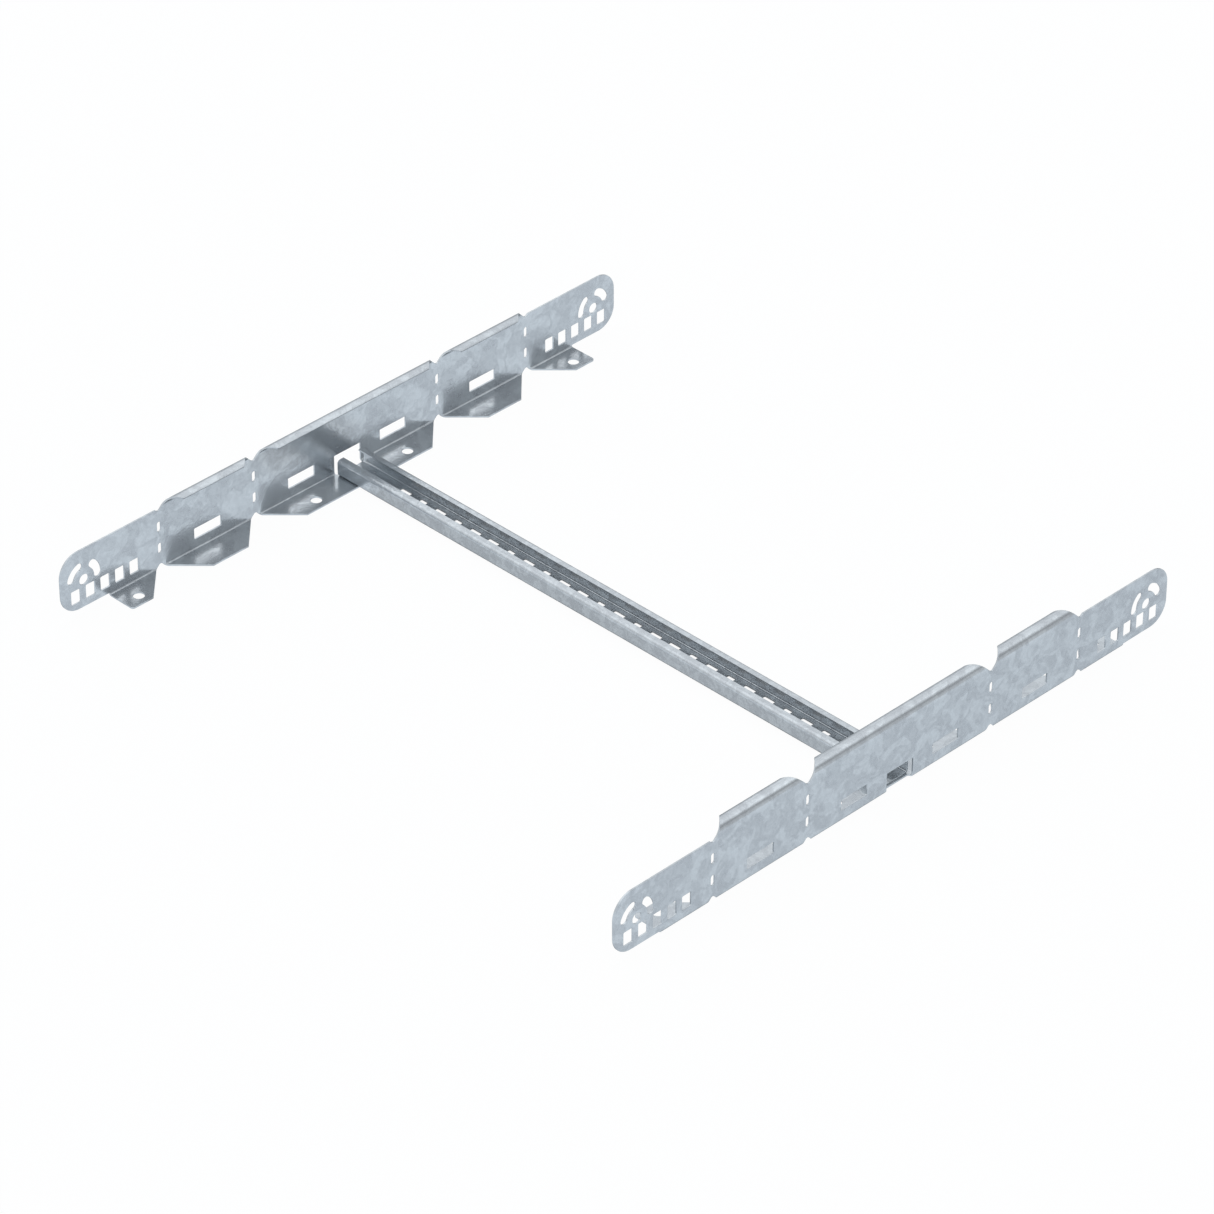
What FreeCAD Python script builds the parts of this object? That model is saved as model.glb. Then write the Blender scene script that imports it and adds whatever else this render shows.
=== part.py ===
"""Bendable cable ladder connector: two folded side rails and one slotted cross rung.

Galvanised steel sheet. X runs across the ladder along the rung, Y runs along the rails and
Z is up. The origin is the middle of the connector on the plane it stands on, which is the
underside of the rail flanges. Lengths are in millimetres, angles in degrees.
"""
import FreeCAD, Part
import math
import os

Vector = FreeCAD.Vector

# Whole connector
SHEET = 1.5
OUTER_WIDTH = 604.0
RAIL_LENGTH = 604.0

# Folded section of a side rail, outside radii
RAIL_HEIGHT = 64.0
FLANGE_WIDTH = 28.2
FLANGE_BEND_RADIUS = 3.0
LIP_ROLL_RADIUS = 7.0
LIP_ROLL_ANGLE = 76.0
LIP_EASE_RADIUS = 7.9
LIP_EASE_ANGLE = 51.0

# Bend lines, where the installer folds the rail to any angle
INNER_BEND_LINE = 100.0
OUTER_BEND_LINE = 200.0
BEND_SLOT_WIDTH = 4.0
BEND_SLOT_LENGTH = 9.4
BEND_SLOT_LOW = 19.5
BEND_SLOT_HIGH = 39.5

# Notches cut in the flat blank on each bend line, before the sheet is folded
NOTCH_TOP_POINT = 53.4
NOTCH_BOTTOM_POINT = 5.8
NOTCH_HALF_ANGLE = 45.0
NOTCH_ROUND = 2.2

# End plates, places measured inward from the end of the rail
END_PLATE_TOP = 56.1
END_TOP_RADIUS = 19.0
END_BOTTOM_RADIUS = 18.0
TAB_FROM_END = 49.0
TAB_CORNER_ROUND = 2.5
TAB_HOLE_FROM_END = 64.0
SQUARE_FROM_END = 15.0
SQUARE_PITCH = 15.0
SQUARE_COUNT = 5
SQUARE_WIDTH = 9.4
SQUARE_HEIGHT = 12.7
SQUARE_ROUND = 1.0
SQUARE_CENTRE_HEIGHT = 15.4
PIVOT_FROM_END = 24.0
PIVOT_HEIGHT = 27.9
PIVOT_DIAMETER = 9.3
ARC_SLOT_RADIUS = 14.0
ARC_SLOT_WIDTH = 7.1
OUTER_ARC_START = 20.0
INNER_ARC_START = 130.0
ARC_SLOT_TURN = 50.0

# Slots and holes of the middle panels
WEB_SLOT_LENGTH = 28.5
WEB_SLOT_HEIGHT = 10.0
WEB_SLOT_CENTRE_HEIGHT = 15.3
FLANGE_HOLE_DIAMETER = 9.5
FLANGE_HOLE_INSET = 18.35

# Window in the web facing each end of the rung
WINDOW_WIDTH = 28.8
WINDOW_TOP = 18.35
WINDOW_DEPTH = 4.15
WINDOW_CORNER_ROUND = 2.5

# Cross rung, a channel with its lips turned inward and its mouth up
RUNG_WIDTH = 30.0
RUNG_HEIGHT = 15.0
RUNG_MOUTH = 16.5
RUNG_BEND_RADIUS = 3.0
RUNG_END_INSET = 5.7
RUNG_SLOT_PITCH = 20.0
RUNG_PLAIN_END = 45.0
RUNG_SLOT_ACROSS = 18.0
RUNG_LONG_SLOT = 11.6
RUNG_SHORT_SLOT = 7.7
# Slot lengths counted outward from the middle slot, repeated
RUNG_SLOT_ORDER = (RUNG_LONG_SLOT, RUNG_SHORT_SLOT, RUNG_LONG_SLOT, RUNG_LONG_SLOT, RUNG_SHORT_SLOT)

# How far a cutting tool runs past the sheet, and past it inside a tight bend
CUT_PAST = 5.0
BEND_CUT_PAST = 0.6
BEND_STATIONS = 5
TINY = 0.001

OUTER_FACE = OUTER_WIDTH / 2
RAIL_END = RAIL_LENGTH / 2
QUARTER_TURN = 90.0
LIP_RISE = LIP_EASE_RADIUS + (LIP_ROLL_RADIUS - LIP_EASE_RADIUS) * math.sin(math.radians(LIP_ROLL_ANGLE))
WEB_STRAIGHT_TOP = RAIL_HEIGHT - LIP_RISE


def rounded_outline(corners, place):
    """Face with the given (a, b, corner radius) points, set in space by place(a, b)."""
    joints = []
    for index, (a, b, radius) in enumerate(corners):
        corner = Vector(a, b, 0)
        before = Vector(*corners[index - 1][:2], 0) - corner
        after = Vector(*corners[(index + 1) % len(corners)][:2], 0) - corner
        before.normalize()
        after.normalize()
        half_angle = before.getAngle(after) / 2
        reach = radius / math.tan(half_angle)
        bisector = (before + after).normalize()
        middle = corner + bisector * (radius / math.sin(half_angle) - radius)
        joints.append((corner + before * reach, middle, corner + after * reach, radius))
    edges = []
    for index, (start, middle, end, radius) in enumerate(joints):
        if radius > 0:
            points = [place(point.x, point.y) for point in (start, middle, end)]
            edges.append(Part.Arc(*points).toShape())
        following = joints[(index + 1) % len(joints)][0]
        if end.distanceToPoint(following) > TINY:
            edges.append(Part.makeLine(place(end.x, end.y), place(following.x, following.y)))
    return Part.Face(Part.Wire(edges))


def centred_box(a, b, width, height, radius=0):
    """Corners of a rectangle centred on (a, b), square or all with one corner radius."""
    left, right = a - width / 2, a + width / 2
    low, high = b - height / 2, b + height / 2
    return [(left, low, radius), (right, low, radius), (right, high, radius), (left, high, radius)]


def rounded_end(a, b, a_way, b_way, radius):
    """Outline that cuts the outer corner (a, b) to a radius; ways are 1 or -1, outward."""
    near_a, near_b = a - a_way * radius, b - b_way * radius
    far_a, far_b = a + a_way * CUT_PAST, b + b_way * CUT_PAST
    return [
        (near_a, far_b, 0),
        (near_a, b, 0),
        (a, b, radius),
        (a, near_b, 0),
        (far_a, near_b, 0),
        (far_a, far_b, 0),
    ]


def web_place(along, height):
    """Point on the plane behind the web where tools through the web start."""
    return Vector(OUTER_FACE - SHEET - CUT_PAST, along, height)


def through_web(face):
    return face.extrude(Vector(SHEET + 2 * CUT_PAST, 0, 0))


def web_tool(corners):
    """Cutting tool through the web of the right-hand rail; corners are (along, height)."""
    return through_web(rounded_outline(corners, web_place))


def floor_tool(corners, floor):
    """Cutting tool through a level sheet lying at height floor; corners are (across, along)."""
    face = rounded_outline(corners, lambda across, along: Vector(across, along, floor - CUT_PAST))
    return face.extrude(Vector(0, 0, SHEET + 2 * CUT_PAST))


class Fold:
    """Mid-line of a folded sheet whose bends all turn the same way, followed by distance."""

    def __init__(self, start, heading):
        self.start = start
        self.heading = math.radians(heading)
        self.runs = []

    def flat(self, length):
        self.runs.append((length, 0.0))

    def bend(self, outside_radius, angle):
        turn = math.radians(angle)
        self.runs.append(((outside_radius - SHEET / 2) * turn, turn))

    def breaks(self):
        """Distances at which the runs start and end."""
        places = [0.0]
        for length, turn in self.runs:
            places.append(places[-1] + length)
        return places

    def is_flat(self, distance):
        """Whether the sheet is flat at a distance; past its free edges it counts as flat."""
        for (length, turn), end in zip(self.runs, self.breaks()[1:]):
            if distance <= end:
                return turn == 0
        return True

    def at(self, distance, outward):
        """Point (a, b) at a distance along the sheet, moved outward from its mid-line."""
        a, b = self.start
        heading = self.heading
        left = distance
        for length, turn in self.runs:
            step = min(left, length)
            if turn == 0:
                a += step * math.cos(heading)
                b += step * math.sin(heading)
            else:
                radius = length / turn
                turned = heading + step / radius
                a += radius * (math.sin(turned) - math.sin(heading))
                b += radius * (math.cos(heading) - math.cos(turned))
                heading = turned
            left -= step
            if left <= 0:
                break
        a += left * math.cos(heading) + outward * math.sin(heading)
        b += left * math.sin(heading) - outward * math.cos(heading)
        return a, b

    def section(self, place):
        """Face of the sheet cut across, set in space by place(a, b)."""
        half = SHEET / 2
        sides = []
        for outward in (half, -half):
            edges = []
            for (length, turn), start in zip(self.runs, self.breaks()):
                first = place(*self.at(start, outward))
                middle = place(*self.at(start + length / 2, outward))
                last = place(*self.at(start + length, outward))
                if turn == 0:
                    edges.append(Part.makeLine(first, last))
                else:
                    edges.append(Part.Arc(first, middle, last).toShape())
            sides.append(edges)
        outer, inner = sides
        ends = []
        for distance in (self.breaks()[-1], 0.0):
            ends.append(Part.makeLine(place(*self.at(distance, half)), place(*self.at(distance, -half))))
        return Part.Face(Part.Wire(outer + [ends[0]] + inner[::-1] + [ends[1]]))


def rail_fold():
    """Section of the right-hand rail from the flange's free edge, up the web, to the lip."""
    fold = Fold((OUTER_FACE - FLANGE_WIDTH, SHEET / 2), 0.0)
    fold.flat(FLANGE_WIDTH - FLANGE_BEND_RADIUS)
    fold.bend(FLANGE_BEND_RADIUS, QUARTER_TURN)
    fold.flat(WEB_STRAIGHT_TOP - FLANGE_BEND_RADIUS)
    fold.bend(LIP_ROLL_RADIUS, LIP_ROLL_ANGLE)
    fold.bend(LIP_EASE_RADIUS, LIP_EASE_ANGLE)
    return fold


def spread(start, stop, count):
    """Evenly spaced stations from start to stop."""
    step = (stop - start) / (count - 1)
    return [start + step * index for index in range(count)]


def notch_tools(fold, line, point_height, way):
    """Tools for one notch on a bend line, from its point to the sheet's free edge.

    The notch is a plain V in the flat blank, so its half width grows with the distance
    walked along the sheet, round the bends too. Way is 1 for the notch that runs up the
    web and over the lip, and -1 for the one that runs down into the flange.
    """
    slope = math.tan(math.radians(NOTCH_HALF_ANGLE))
    web_limit = WEB_STRAIGHT_TOP if way > 0 else FLANGE_BEND_RADIUS
    web_run = abs(web_limit - point_height)
    point = fold.breaks()[2] + point_height - FLANGE_BEND_RADIUS
    tools = [web_tool([
        (line, point_height, NOTCH_ROUND),
        (line + web_run * slope, web_limit, 0),
        (line - web_run * slope, web_limit, 0),
    ])]
    outward = SHEET / 2 + BEND_CUT_PAST
    stops = sorted((place - point) * way for place in fold.breaks())
    stops = [stop for stop in stops if stop > web_run + TINY]
    begin = web_run
    for stop in stops + [stops[-1] + CUT_PAST]:
        flat = fold.is_flat(point + way * (begin + stop) / 2)
        wires = []
        for distance in spread(begin, stop, 2 if flat else BEND_STATIONS):
            outer = fold.at(point + way * distance, outward)
            inner = fold.at(point + way * distance, -outward)
            low, high = line - distance * slope, line + distance * slope
            wires.append(Part.makePolygon([
                Vector(outer[0], low, outer[1]),
                Vector(outer[0], high, outer[1]),
                Vector(inner[0], high, inner[1]),
                Vector(inner[0], low, inner[1]),
                Vector(outer[0], low, outer[1]),
            ]))
        tools.append(Part.makeLoft(wires, True, flat))
        begin = stop
    return tools


def arc_slot(centre, start_angle, side):
    """Tool for a slot with round ends that follows an arc round the pivot hole."""
    pivot_along, pivot_height = centre

    def around(radius, angle):
        turn = math.radians(angle)
        return web_place(pivot_along + side * radius * math.cos(turn), pivot_height + radius * math.sin(turn))

    def round_end(angle, way):
        turn = math.radians(angle)
        half = ARC_SLOT_WIDTH / 2
        tip_along = ARC_SLOT_RADIUS * math.cos(turn) - way * half * math.sin(turn)
        tip_height = ARC_SLOT_RADIUS * math.sin(turn) + way * half * math.cos(turn)
        return web_place(pivot_along + side * tip_along, pivot_height + tip_height)

    large = ARC_SLOT_RADIUS + ARC_SLOT_WIDTH / 2
    small = ARC_SLOT_RADIUS - ARC_SLOT_WIDTH / 2
    middle = start_angle + ARC_SLOT_TURN / 2
    last = start_angle + ARC_SLOT_TURN
    arcs = (
        Part.Arc(around(large, start_angle), around(large, middle), around(large, last)),
        Part.Arc(around(large, last), round_end(last, 1), around(small, last)),
        Part.Arc(around(small, last), around(small, middle), around(small, start_angle)),
        Part.Arc(around(small, start_angle), round_end(start_angle, -1), around(large, start_angle)),
    )
    return through_web(Part.Face(Part.Wire([arc.toShape() for arc in arcs])))


def flange_hole(along):
    """Tool for a round hole in the bottom flange."""
    radius = FLANGE_HOLE_DIAMETER / 2
    below = Vector(OUTER_FACE - FLANGE_HOLE_INSET, along, -CUT_PAST)
    return Part.makeCylinder(radius, SHEET + 2 * CUT_PAST, below)


def bend_line_tools(fold, line):
    """Notches and slots that weaken the rail on one bend line."""
    tools = notch_tools(fold, line, NOTCH_TOP_POINT, 1)
    tools += notch_tools(fold, line, NOTCH_BOTTOM_POINT, -1)
    for height in (BEND_SLOT_LOW, BEND_SLOT_HIGH):
        corners = centred_box(line, height, BEND_SLOT_WIDTH, BEND_SLOT_LENGTH, BEND_SLOT_WIDTH / 2)
        tools.append(web_tool(corners))
    return tools


def end_plate_tools(side):
    """Outline, holes and arc slots of the plate at one end of the rail."""
    end = side * RAIL_END
    bend = side * OUTER_BEND_LINE
    tab_end = side * (RAIL_END - TAB_FROM_END)
    past = end + side * CUT_PAST
    lip_depth = LIP_ROLL_RADIUS + LIP_EASE_RADIUS + CUT_PAST
    above = Part.makeBox(
        lip_depth + CUT_PAST,
        abs(past - bend),
        WEB_STRAIGHT_TOP,
        Vector(OUTER_FACE - lip_depth, min(bend, past), END_PLATE_TOP),
    )
    below = Part.makeBox(
        FLANGE_WIDTH + 2 * CUT_PAST,
        abs(past - tab_end),
        FLANGE_BEND_RADIUS + CUT_PAST,
        Vector(OUTER_FACE - FLANGE_WIDTH - CUT_PAST, min(tab_end, past), -CUT_PAST),
    )
    free_edge = OUTER_FACE - FLANGE_WIDTH
    tools = [
        above,
        below,
        web_tool(rounded_end(end, END_PLATE_TOP, side, 1, END_TOP_RADIUS)),
        web_tool(rounded_end(end, FLANGE_BEND_RADIUS, side, -1, END_BOTTOM_RADIUS)),
        floor_tool(rounded_end(free_edge, tab_end, -1, side, TAB_CORNER_ROUND), 0.0),
        flange_hole(side * (RAIL_END - TAB_HOLE_FROM_END)),
    ]
    for index in range(SQUARE_COUNT):
        along = side * (RAIL_END - SQUARE_FROM_END - index * SQUARE_PITCH)
        corners = centred_box(along, SQUARE_CENTRE_HEIGHT, SQUARE_WIDTH, SQUARE_HEIGHT, SQUARE_ROUND)
        tools.append(web_tool(corners))
    pivot = (side * (RAIL_END - PIVOT_FROM_END), PIVOT_HEIGHT)
    along_web = Vector(1, 0, 0)
    tools.append(Part.makeCylinder(PIVOT_DIAMETER / 2, SHEET + 2 * CUT_PAST, web_place(*pivot), along_web))
    tools.append(arc_slot(pivot, OUTER_ARC_START, side))
    tools.append(arc_slot(pivot, INNER_ARC_START, side))
    return tools


def window_tools():
    """Window facing the rung: through the web, round the bend and into the flange."""
    half = WINDOW_WIDTH / 2
    web = web_tool([
        (-half, -CUT_PAST, 0),
        (half, -CUT_PAST, 0),
        (half, WINDOW_TOP, 0),
        (-half, WINDOW_TOP, 0),
    ])
    inner = OUTER_FACE - WINDOW_DEPTH
    outer = OUTER_FACE + CUT_PAST
    flange = floor_tool([
        (inner, -half, WINDOW_CORNER_ROUND),
        (outer, -half, 0),
        (outer, half, 0),
        (inner, half, WINDOW_CORNER_ROUND),
    ], 0.0)
    return [web, flange]


def make_rail():
    """Right-hand side rail, folded from one strip of sheet."""
    fold = rail_fold()
    section = fold.section(lambda across, height: Vector(across, -RAIL_END, height))
    rail = section.extrude(Vector(0, RAIL_LENGTH, 0))
    tools = window_tools()
    outer_slot = (INNER_BEND_LINE + OUTER_BEND_LINE) / 2
    inner_slot = INNER_BEND_LINE / 2
    for side in (-1, 1):
        tools += bend_line_tools(fold, side * INNER_BEND_LINE)
        tools += bend_line_tools(fold, side * OUTER_BEND_LINE)
        tools += end_plate_tools(side)
        tools.append(flange_hole(side * inner_slot))
        for along in (inner_slot, outer_slot):
            corners = centred_box(side * along, WEB_SLOT_CENTRE_HEIGHT, WEB_SLOT_LENGTH, WEB_SLOT_HEIGHT)
            tools.append(web_tool(corners))
    for tool in tools:
        rail = rail.cut(tool)
    return rail


def make_rung():
    """Slotted channel that stands on the flanges of both rails."""
    top = SHEET + RUNG_HEIGHT
    fold = Fold((-RUNG_MOUTH / 2, top - SHEET / 2), 2 * QUARTER_TURN)
    lip = (RUNG_WIDTH - RUNG_MOUTH) / 2 - RUNG_BEND_RADIUS
    wall = RUNG_HEIGHT - 2 * RUNG_BEND_RADIUS
    floor = RUNG_WIDTH - 2 * RUNG_BEND_RADIUS
    fold.flat(lip)
    for length in (wall, floor, wall, lip):
        fold.bend(RUNG_BEND_RADIUS, QUARTER_TURN)
        fold.flat(length)
    half_length = OUTER_FACE - RUNG_END_INSET
    section = fold.section(lambda along, height: Vector(-half_length, along, height))
    rung = section.extrude(Vector(2 * half_length, 0, 0))
    slots_each_side = int((half_length - RUNG_PLAIN_END) / RUNG_SLOT_PITCH)
    for index in range(-slots_each_side, slots_each_side + 1):
        length = RUNG_SLOT_ORDER[abs(index) % len(RUNG_SLOT_ORDER)]
        corners = centred_box(index * RUNG_SLOT_PITCH, 0.0, length, RUNG_SLOT_ACROSS)
        rung = rung.cut(floor_tool(corners, SHEET))
    return rung


def main():
    os.makedirs("parts", exist_ok=True)
    rail = make_rail()
    pieces = {
        "side_rail_right": rail,
        "side_rail_left": rail.mirror(Vector(0, 0, 0), Vector(1, 0, 0)),
        "cross_rung": make_rung(),
    }
    for name, shape in pieces.items():
        solid = shape.Solids[0]
        solid.exportStep("parts/" + name + ".step")


main()
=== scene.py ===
"""Bendable cable ladder connector in galvanised steel: two folded side rails and a rung.

Each piece is made in the order of the sheet metal shop. A flat blank is cut and punched,
the blank is folded along its bend lines, the cut edges are eased and the piece gets its
zinc coat. Lengths are in metres, in the frame of the solids.
"""
import bmesh
import bpy
import math
from mathutils import Matrix, Vector


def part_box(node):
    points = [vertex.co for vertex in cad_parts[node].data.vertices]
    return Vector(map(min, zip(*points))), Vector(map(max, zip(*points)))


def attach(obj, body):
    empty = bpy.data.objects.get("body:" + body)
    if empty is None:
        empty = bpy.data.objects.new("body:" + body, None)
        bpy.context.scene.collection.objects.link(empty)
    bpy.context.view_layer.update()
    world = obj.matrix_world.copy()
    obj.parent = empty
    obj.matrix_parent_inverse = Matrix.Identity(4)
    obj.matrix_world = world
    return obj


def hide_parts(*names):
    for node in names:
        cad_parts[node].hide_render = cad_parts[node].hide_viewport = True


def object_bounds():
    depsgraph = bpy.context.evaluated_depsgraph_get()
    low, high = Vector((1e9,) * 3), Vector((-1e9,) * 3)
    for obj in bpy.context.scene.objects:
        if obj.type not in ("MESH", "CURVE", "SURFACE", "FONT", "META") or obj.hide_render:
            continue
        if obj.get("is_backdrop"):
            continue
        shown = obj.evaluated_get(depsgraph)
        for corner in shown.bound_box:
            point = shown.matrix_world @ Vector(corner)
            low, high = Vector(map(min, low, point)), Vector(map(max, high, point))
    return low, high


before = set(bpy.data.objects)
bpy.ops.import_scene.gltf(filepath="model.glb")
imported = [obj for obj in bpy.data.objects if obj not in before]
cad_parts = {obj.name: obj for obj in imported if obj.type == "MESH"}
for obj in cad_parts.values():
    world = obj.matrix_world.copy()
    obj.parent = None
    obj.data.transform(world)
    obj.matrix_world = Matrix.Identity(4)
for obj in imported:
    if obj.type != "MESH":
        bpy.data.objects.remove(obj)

bl_info = {
    "name": "Cable ladder connector",
    "version": (1, 0, 0),
    "blender": (4, 5, 0),
    "location": "3D View > Sidebar > Connector",
    "description": "Models a bendable cable ladder connector from flat steel blanks",
    "category": "Add Mesh",
}

MM = 0.001
SOLID_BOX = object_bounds()
RAIL_LOW, RAIL_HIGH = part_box("side_rail_right")
RUNG_LOW, RUNG_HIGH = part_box("cross_rung")
TINY = 0.001 * MM  # closer points are the same point
PUNCH_PAST = 2 * MM  # how far a punch reaches past the sheet
QUARTER_TURN = math.radians(90)
SIDES = (-1, 1)
WHITE = (1.0, 1.0, 1.0, 1.0)

# Eased cut edges: sharper bends than the limit count as cut edges
EASE_ANGLE = math.radians(50)
EASE_SEGMENTS = 2
FACE_WEIGHT = 100  # shading follows the large faces alone

# Layers of the zinc's pattern, from the bottom up: the detail and distortion of the noise, the
# levels of the noise at which the zinc is dull and bright, and the layer's share of the mix
ZINC_LAYERS = {
    "Spangle size": {"detail": 2.0, "distortion": 0.9, "levels": (0.47, 0.57), "share": 1.0},
    "Patch size": {"detail": 3.0, "distortion": 1.2, "levels": (0.38, 0.62), "share": 0.42},
    "Cloud size": {"detail": 2.0, "distortion": 0.4, "levels": (0.35, 0.65), "share": 0.08},
    "Grain size": {"detail": 3.0, "distortion": 0.5, "levels": (0.3, 0.7), "share": 0.18},
}
NOISE_ROUGHNESS = 0.55

# Painted shade on the floor that the metal reflects: a painted shadow straight under the rung and a
# darker middle by the rung, lighter by the rails, by the distance from the middle along X or Y
UNDER_RUNG_SHADOW_EDGE = (RUNG_HIGH.y - 4 * MM, RUNG_HIGH.y + 3 * MM)
RUNG_SHADE_EDGE = (2 * RUNG_HIGH.y, 4 * RUNG_HIGH.y)
RAIL_SHADE_EDGE = (RAIL_LOW.x - 20 * MM, RAIL_LOW.x)
FLOOR_DROP = 0.1 * MM  # keeps the floor clear of the flanges' undersides

# Surroundings, by the height of a direction: its Z, from 0 at the horizon to 1 overhead
CEILING_EDGE = (0.62, 0.80)
RIGHT_FLAG_HEIGHTS = (0.32, 0.54, 0.67, 0.83)
LEFT_FLAG_HEIGHTS = (0.45, 0.75)
FLAG_EDGE = (0.2, 0.6)  # cosine of the angle to the flag's middle, from outside it to inside

NEAREST_SEEN = 0.05
FARTHEST_SEEN = 50.0


def length(name, description, default):
    """A length property in metres."""
    return bpy.props.FloatProperty(
        name=name, description=description, default=default, min=0.0, unit="LENGTH", precision=5
    )


def angle(name, description, degrees):
    """An angle property, written in degrees."""
    return bpy.props.FloatProperty(
        name=name, description=description, default=math.radians(degrees), unit="ROTATION"
    )


def count(name, description, default):
    """A whole number property."""
    return bpy.props.IntProperty(name=name, description=description, default=default, min=1)


def share(name, description, default):
    """A share from 0 to 1."""
    return bpy.props.FloatProperty(
        name=name, description=description, default=default, min=0.0, max=1.0
    )


def level(name, description, default):
    """A brightness; 1 is the white of the picture."""
    return bpy.props.FloatProperty(name=name, description=description, default=default, min=0.0)


def colour(name, description, default):
    """A colour, which may be a little brighter than white."""
    return bpy.props.FloatVectorProperty(
        name=name, description=description, default=default, subtype="COLOR", min=0.0, max=2.0
    )


def place(name, description, default):
    """A point, or the two sides of a rectangle, in metres."""
    return bpy.props.FloatVectorProperty(
        name=name, description=description, default=default, size=len(default),
        unit="LENGTH", precision=5,
    )


class SheetSettings(bpy.types.PropertyGroup):
    """Sheet that all the pieces are folded from."""

    thickness: length("Thickness", "Thickness of the sheet", RUNG_LOW.z)
    edge_ease: length("Edge ease", "Radius that the zinc gives to a cut edge", 0.22 * MM)
    bend_steps: count("Bend steps", "Facets of a quarter turn", 12)
    arc_steps: count("Arc steps", "Facets of a quarter circle in a cut outline", 12)


class RailSettings(bpy.types.PropertyGroup):
    """Folded section, outline and holes of a side rail."""

    flange_bend: length("Flange bend", "Outside radius of the bend under the web", 3 * MM)
    lip_roll: length("Lip roll", "Outside radius of the first part of the lip", 7 * MM)
    lip_roll_turn: angle("Lip roll turn", "Turn of the first part of the lip", 76)
    lip_ease: length("Lip ease", "Outside radius of the rest of the lip", 7.9 * MM)
    lip_ease_turn: angle("Lip ease turn", "Turn of the rest of the lip", 51)
    inner_bend_line: length(
        "Inner bend line", "Distance of the bend lines next to the rung", 100 * MM
    )
    outer_bend_line: length(
        "Outer bend line", "Distance of the bend lines next to the end plates", 200 * MM
    )
    notch_top: length("Upper notch point", "Height of the point of the upper notches", 53.4 * MM)
    notch_bottom: length("Lower notch point", "Height of the point of the lower notches", 5.8 * MM)
    notch_round: length("Notch round", "Radius in the point of a notch", 2.2 * MM)
    bend_slot_width: length("Bend slot width", "Width of the slots on a bend line", 4 * MM)
    bend_slot_length: length("Bend slot length", "Length of the slots on a bend line", 9.4 * MM)
    bend_slot_low: length("Lower bend slot", "Height of the lower slot on a bend line", 19.5 * MM)
    bend_slot_high: length("Upper bend slot", "Height of the upper slot on a bend line", 39.5 * MM)
    plate_top: length("End plate top", "Height of the end plates", 56.1 * MM)
    plate_top_round: length("End plate upper round", "Radius of the upper corners", 19 * MM)
    plate_bottom_round: length("End plate lower round", "Radius of the lower corners", 18 * MM)
    tab_from_end: length(
        "Tab from end", "Distance of the tab's outer end from the rail's end", 49 * MM
    )
    tab_round: length("Tab round", "Radius of the tab's free corner", 2.5 * MM)
    tab_hole_from_end: length(
        "Tab hole from end", "Distance of the tab's hole from the rail's end", 64 * MM
    )
    square_pitch: length("Square hole pitch", "Pitch of the square holes, from the end", 15 * MM)
    square_count: count("Square holes", "Square holes in each end plate", 5)
    square_width: length("Square hole width", "Width of a square hole", 9.4 * MM)
    square_height: length("Square hole height", "Height of a square hole", 12.7 * MM)
    square_centre: length("Square hole place", "Height of the square holes' centres", 15.4 * MM)
    square_round: length("Square hole round", "Radius of the square holes' corners", 1 * MM)
    pivot_from_end: length(
        "Pivot from end", "Distance of the pivot hole from the rail's end", 24 * MM
    )
    pivot_height: length("Pivot height", "Height of the pivot hole", 27.9 * MM)
    pivot_diameter: length("Pivot diameter", "Diameter of the pivot hole", 9.3 * MM)
    arc_radius: length("Arc slot radius", "Radius of the arc slots' centre line", 14 * MM)
    arc_width: length("Arc slot width", "Width of the arc slots", 7.1 * MM)
    arc_turn: angle("Arc slot turn", "Turn between the centres of an arc slot's round ends", 50)
    outer_arc_start: angle("Outer arc start", "Start of the arc slot towards the end", 20)
    inner_arc_start: angle("Inner arc start", "Start of the arc slot away from the end", 130)
    web_slot_length: length(
        "Web slot length", "Length of the slots in the middle panels", 28.5 * MM
    )
    web_slot_height: length("Web slot height", "Height of the slots in the middle panels", 10 * MM)
    web_slot_centre: length("Web slot place", "Height of the web slots' centres", 15.3 * MM)
    web_slot_round: length("Web slot round", "Radius of the web slots' corners", 0.8 * MM)
    flange_hole: length(
        "Flange hole", "Diameter of the round holes in the flange and tabs", 9.5 * MM
    )
    flange_hole_inset: length(
        "Flange hole inset", "Inset of the flange holes from the web", 18.35 * MM
    )
    window_width: length("Window width", "Width of the window that faces the rung", 28.8 * MM)
    window_top: length("Window top", "Height of the window's upper edge", 18.35 * MM)
    window_depth: length("Window depth", "How far the window cuts into the flange", 4.15 * MM)
    window_round: length("Window round", "Radius of the window's corners in the flange", 2.5 * MM)


class RungSettings(bpy.types.PropertyGroup):
    """Channel section and slots of the rung."""

    mouth: length("Mouth", "Gap between the lips", 16.5 * MM)
    bend: length("Bend", "Outside radius of the bends", 3 * MM)
    slot_pitch: length("Slot pitch", "Pitch of the floor slots", 20 * MM)
    plain_end: length("Plain end", "Least length without slots at each end", 45 * MM)
    slot_across: length("Slot width", "Size of a floor slot across the rung", 18 * MM)
    long_slot: length("Long slot", "Size of a long floor slot along the rung", 11.6 * MM)
    short_slot: length("Short slot", "Size of a short floor slot along the rung", 7.7 * MM)
    slot_round: length("Slot round", "Radius of the floor slots' corners", 0.9 * MM)
    slot_order: bpy.props.StringProperty(
        name="Slot order", default="LSLLS",
        description="Long and short slots outward from the middle, repeated",
    )


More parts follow.
